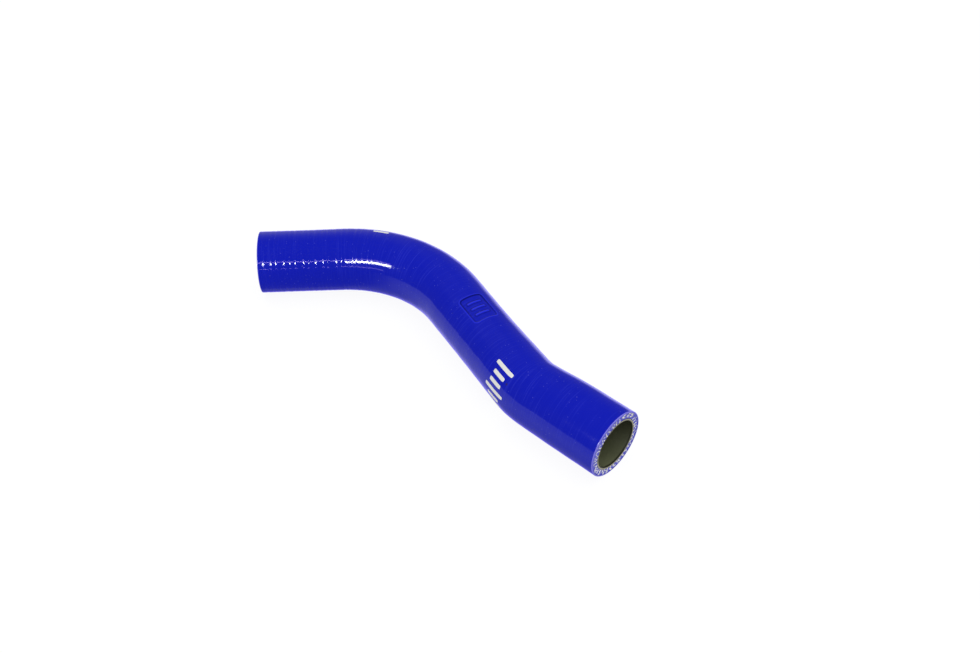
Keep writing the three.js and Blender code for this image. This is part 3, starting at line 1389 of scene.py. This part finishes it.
@dataclass(frozen=True)
class YarnFinish:
    """White polyester yarn, cut flush, and bluer where silicone covers its strands."""

    colour: Colour = (0.95, 0.95, 0.95)
    stain: Colour = (0.34, 0.34, 0.86)
    grain: Grain = Grain(9000.0, 0.02 * MM)
    roughness: float = 0.7
    patches: float = 2600.0
    patch_shown: Reach = (0.5, 0.7)
    patch_least: float = 0.75

    def build(self, effects: Effects) -> bpy.types.Material:
        """Builds the material, stained where a yarn is less clean and in small patches.

        Args:
            effects: The shared effects.

        Returns:
            The material.
        """
        skin = Skin("white yarn", effects)
        graph = skin.graph
        clouds = graph.noise(skin.place, self.patches, 2.0)
        patch = graph.span(clouds, self.patch_shown, 1.0, self.patch_least)
        white = graph.math("MULTIPLY", graph.mark(CLEAN), patch)
        return skin.finish(
            {
                "Base Color": graph.blend(white, opaque(self.stain), opaque(self.colour)),
                "Roughness": self.roughness,
                "Normal": skin.grain(self.grain),
            }
        )


@dataclass(frozen=True)
class LinerFinish:
    """Satin dark olive-grey rubber, painted lighter where the bore's inner face looks up, with a matt
    grey-beige cut edge.
    """

    colour: Colour = (0.028, 0.031, 0.017)
    # The painted light on the bore's upward-facing side.
    painted_bore_light: Tint = Tint((0.150, 0.163, 0.090))
    drift: Drift = Drift(90.0, 0.3)
    speck: Tint = Tint((0.25, 0.25, 0.2), 0.5)
    specks: Specks = Specks(260.0, 0.12, 0.15)
    edge: Tint = Tint((0.39, 0.375, 0.29))
    edge_dullness: float = 0.25
    roughness: float = 0.4
    drawn_roughness: float = 0.6
    drawn_scale: tuple[float, float] = (1.6, 0.05)
    drawn_depth: float = 0.01 * MM
    specular: float = 0.18

    def build(self, effects: Effects) -> bpy.types.Material:
        """Builds the material, with marks drawn out along the bore by the mandrel.

        Args:
            effects: The shared effects.

        Returns:
            The material.
        """
        skin = Skin("olive liner", effects)
        graph = skin.graph
        drawn = graph.noise(graph.surface(self.drawn_scale), 1.0, 3.0)
        cut = graph.mark(CUT_EDGE)
        # Painted light over the dark rubber, then real dust specks.
        lit_colour = skin.drift(skin.tint(opaque(self.colour), graph.mark(BORE_LIGHT), self.painted_bore_light), self.drift)
        lit_and_specked = skin.tint(lit_colour, skin.specks(self.specks), self.speck)
        rough = graph.fade(drawn, self.roughness, self.drawn_roughness)
        return skin.finish(
            {
                "Base Color": skin.tint(lit_and_specked, cut, self.edge),
                "Roughness": graph.math("MULTIPLY_ADD", cut, self.edge_dullness, rough),
                "Normal": graph.bump(drawn, self.drawn_depth),
                "Specular IOR Level": self.specular,
            }
        )


@dataclass(frozen=True)
class PrintFinish:
    """Thin white ink with a soft gloss, a little uneven in tone."""

    colour: Colour = (0.78, 0.78, 0.75)
    drift: Drift = Drift(350.0, 0.12)
    grain: Grain = Grain(4000.0, 0.01 * MM)
    roughness: float = 0.4

    def build(self, effects: Effects) -> bpy.types.Material:
        """Builds the material.

        Args:
            effects: The shared effects.

        Returns:
            The material.
        """
        skin = Skin("white ink", effects)
        return skin.finish(
            {
                "Base Color": skin.drift(opaque(self.colour), self.drift),
                "Roughness": self.roughness,
                "Normal": skin.grain(self.grain),
            }
        )


# The table, the light and the camera


@dataclass(frozen=True)
class Strip:
    """A long low lamp that faces the hose and shows in its gloss.

    The azimuth is its direction in plan, from straight in front towards the right, and the height
    its angle above the table. The size is its width and height, and a brightness of 1 is white.
    """

    name: str
    azimuth: float
    height: float
    size: tuple[float, float]
    brightness: float
    tint: Colour = WHITE

    def build(self, distance: float) -> None:
        """Builds the lamp. Its power is pi times its area times its brightness.

        Args:
            distance: How far it stands from the hose.
        """
        lamp = bpy.data.lights.new(self.name, "AREA")
        lamp.color = self.tint
        lamp.shape = "RECTANGLE"
        lamp.size, lamp.size_y = self.size
        lamp.energy = math.pi * lamp.size * lamp.size_y * self.brightness
        turn, rise = math.radians(self.azimuth), math.radians(self.height)
        flat = math.cos(rise)
        towards = Vector((math.sin(turn) * flat, -math.cos(turn) * flat, math.sin(rise)))
        facing = towards.to_track_quat("Z", "Y").to_matrix().to_4x4()
        strip = add_object(self.name, lamp)
        strip.matrix_world = Matrix.Translation(towards * distance) @ facing
        strip.visible_diffuse = False


EDGE_TINT: Colour = (0.62, 0.46, 1.0)
STRIPS: tuple[Strip, ...] = (
    Strip("long_lamp", -40.0, 31.0, (1.18, 0.2), 42.0),
    Strip("upper_edge", -33.0, 39.5, (1.45, 0.04), 16.0, EDGE_TINT),
    Strip("lower_edge", -30.0, 12.5, (1.15, 0.035), 11.0, EDGE_TINT),
)


@dataclass
class MirroredRoom:
    """The dim room that the hose's gloss mirrors.

    Its back wall is lit low down and to the left, and below the horizon lies the white table, dark
    in front and at the hose's foot. Behind the hose it also glows blue, from the light that the
    thin cover lets through.
    """

    dim: float = 0.12
    wall: float = 0.34
    wall_side: Direction = (-0.5, 0.87, 0.0)
    wall_width: Reach = (0.8, 0.98)
    wall_height: Reach = (0.15, 0.95)
    horizon: Reach = (-0.105, -0.065)
    near_table: float = 0.5
    near_side: Reach = (-0.85, -0.25)
    near_drop: Reach = (-0.95, -0.4)
    near_least: float = 0.25
    far_table: float = 0.8
    far_side: Reach = (0.5, 0.9)
    far_foot: Reach = (-0.92, -0.6)
    far_end: Reach = (-0.42, -0.05)
    glow: float = 0.85
    glow_tint: Colour = (0.22, 0.18, 1.0)
    glow_side: Reach = (-0.6, -0.25)
    glow_least: float = 0.25
    glow_back: Reach = (0.22, 0.45)

    def build(self, graph: Graph, direction: bpy.types.NodeSocket) -> bpy.types.NodeSocket:
        """Builds the room's light as smooth functions of the direction.

        Args:
            graph: The world's graph.
            direction: The direction looked in.

        Returns:
            The shader.
        """
        x, y, z = graph.add("SeparateXYZ", {0: direction}).outputs
        flat = graph.add("VectorMath", {0: direction, 1: (1.0, 1.0, 0.0)}, operation="MULTIPLY")
        level = graph.add("VectorMath", {0: flat.outputs[0]}, operation="NORMALIZE").outputs[0]
        lit = graph.span(graph.dot(level, self.wall_side), self.wall_width, 0.0, self.wall)
        wall = graph.math("MULTIPLY_ADD", lit, graph.span(z, self.wall_height, 1.0, 0.0), self.dim)
        behind = graph.add("SeparateXYZ", {0: level}).outputs[1]
        drop = graph.span(z, self.near_drop, self.near_least, 1.0)
        near = graph.math("MULTIPLY", graph.span(behind, self.near_side, 0.0, self.near_table), drop)
        end = graph.span(z, self.far_end, 1.0, 0.0)
        far = graph.math("MULTIPLY", end, graph.span(z, self.far_foot, 0.0, self.far_table))
        table = graph.fade(graph.span(behind, self.far_side, 0.0, 1.0), near, far)
        table = graph.math("ADD", table, self.dim)
        room = graph.background(graph.fade(graph.span(z, self.horizon, 1.0, 0.0), wall, table))
        across = graph.math("MULTIPLY", graph.span(x, self.glow_side, self.glow_least, 1.0), end)
        through = graph.math("MULTIPLY", graph.span(y, self.glow_back, 0.0, self.glow), across)
        glow = graph.background(through, self.glow_tint)
        return graph.add("AddShader", {0: room, 1: glow}).outputs[0]


@dataclass
class Studio:
    """A white table in soft light, with a long lamp and its two bright edges in front, and the camera."""

    room: MirroredRoom = field(default_factory=MirroredRoom)
    table_size: float = 0.9
    table_drop: float = 0.05 * MM
    table_shadow: float = 0.1
    table_white: float = 1.03
    table_colour: Colour = (0.95, 0.95, 0.95)
    table_light: float = 0.86
    table_light_right: float = 0.52
    table_dims: Reach = (0.02, 0.16)
    sky_light: float = 0.78
    sky_lean: Direction = (0.12, -0.25, 0.0)
    overhead_size: float = 2.4
    overhead_height: float = 2.2
    overhead_power: float = 18.0
    strip_distance: float = 1.6
    camera_place: Direction = (8.46 * MM, -435.68 * MM, 424.24 * MM)
    camera_yaw: float = -2.531
    camera_pitch: float = 42.376
    camera_roll: float = -0.273
    camera_lens: float = 43.024
    camera_clip: float = 10 * MM

    def build(self) -> None:
        """Builds the table, the world, the lamps and the camera."""
        self.add_table()
        self.add_world()
        self.add_overhead()
        for strip in STRIPS:
            strip.build(self.strip_distance)
        self.add_camera()
        bpy.context.scene.view_settings.view_transform = "Standard"

    def add_table(self) -> None:
        """Adds the table. The camera sees it white with a faint shadow, and it lights the hose.

        Its light falls off towards the right.
        """
        half = self.table_size / 2
        mesh = bpy.data.meshes.new("table")
        corners = [(-half, -half), (half, -half), (half, half), (-half, half)]
        mesh.from_pydata([(x, y, -self.table_drop) for x, y in corners], [], [(0, 1, 2, 3)])
        table = add_object("table", mesh)
        table.visible_glossy = False
        material = bpy.data.materials.new("white table")
        material.use_nodes = True
        nodes = material.node_tree.nodes
        nodes.remove(nodes["Principled BSDF"])
        graph = Graph(material.node_tree)
        shaded = graph.add("BsdfDiffuse", {"Color": opaque(self.table_colour)}).outputs[0]
        white = graph.add("Emission", {"Strength": self.table_white}).outputs[0]
        seen = graph.either(self.table_shadow, white, shaded)
        across = graph.add("SeparateXYZ", {0: graph.add("TexCoord").outputs["Object"]}).outputs[0]
        level = graph.span(across, self.table_dims, self.table_light, self.table_light_right)
        glow = graph.add("Emission", {"Strength": level}).outputs[0]
        mixed = graph.either(graph.add("LightPath").outputs["Is Camera Ray"], glow, seen)
        graph.join(mixed, nodes["Material Output"].inputs["Surface"])
        mesh.materials.append(material)

    def add_world(self) -> None:
        """Sets the light from all around.

        The camera sees white and gloss mirrors the room. Everything else gets a soft light,
        stronger from in front and from the right.
        """
        world = bpy.data.worlds.new("studio")
        world.use_nodes = True
        bpy.context.scene.world = world
        graph = Graph(world.node_tree)
        direction = graph.add("TexCoord").outputs["Generated"]
        soft = graph.background(graph.math("ADD", graph.dot(direction, self.sky_lean), self.sky_light))
        path = graph.add("LightPath").outputs
        unseen = graph.either(path["Is Glossy Ray"], soft, self.room.build(graph, direction))
        mixed = graph.either(path["Is Camera Ray"], unseen, graph.background(1.0))
        graph.join(mixed, world.node_tree.nodes["World Output"].inputs["Surface"])

    def add_overhead(self) -> None:
        """Adds the large soft lamp overhead, which stays out of the gloss."""
        lamp = bpy.data.lights.new("overhead", "AREA")
        lamp.shape = "SQUARE"
        lamp.size = self.overhead_size
        lamp.energy = self.overhead_power
        overhead = add_object("overhead", lamp)
        overhead.location = (0.0, 0.0, self.overhead_height)
        overhead.visible_glossy = False

    def add_camera(self) -> None:
        """Adds the camera, which looks down on the hose from in front."""
        yaw, pitch, roll = (math.radians(a) for a in (self.camera_yaw, self.camera_pitch, self.camera_roll))
        flat = math.cos(pitch)
        forward = Vector((-math.sin(yaw) * flat, math.cos(yaw) * flat, -math.sin(pitch)))
        level = Vector((math.cos(yaw), math.sin(yaw), 0.0))
        upright = level.cross(forward)
        right = level * math.cos(roll) + upright * math.sin(roll)
        up = upright * math.cos(roll) - level * math.sin(roll)
        data = bpy.data.cameras.new("camera")
        data.lens = self.camera_lens
        data.clip_start = self.camera_clip
        camera = add_object("camera", data)
        turn = Matrix((right, up, -forward)).transposed().to_4x4()
        camera.matrix_world = Matrix.Translation(self.camera_place) @ turn
        bpy.context.scene.camera = camera


def dress(piece: bpy.types.Object, material: bpy.types.Material) -> bpy.types.Object:
    """Gives a piece its material, and lets it ride on the hose's body.

    Args:
        piece: The finished piece.
        material: Its material.

    Returns:
        The same piece.
    """
    piece.data.materials.append(material)
    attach(piece, BODY)
    log.info("%s: %d faces", piece.name, len(piece.data.polygons))
    return piece


def main() -> None:
    """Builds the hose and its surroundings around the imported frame."""
    logging.basicConfig(level=logging.INFO, format="%(name)s: %(message)s")
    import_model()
    Studio().build()
    form = HoseForm(Route(), Wall()).seated(*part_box(HOSE_NODE))
    effects = Effects()
    lining = Lining()
    cover = OuterCover(form)
    outer = dress(cover.build(), CoverFinish().build(effects))
    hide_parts(HOSE_NODE)
    dress(PlyWall(form, lining, cover.thickness).build(), PlyFinish().build(effects))
    dress(BoreLiner(form, lining).build(), LinerFinish().build(effects))
    yarn = YarnFinish().build(effects)
    for seed, end in enumerate(End, start=1):
        dress(YarnEnds(form, lining, end, cover.thickness, seed).build(), yarn)
    ink = PrintFinish().build(effects)
    for name, (distance, clock) in PRINTED_AT.items():
        dress(PrintedScale(form, name, distance, clock).build(), ink)


if __name__ == "__main__":
    main()
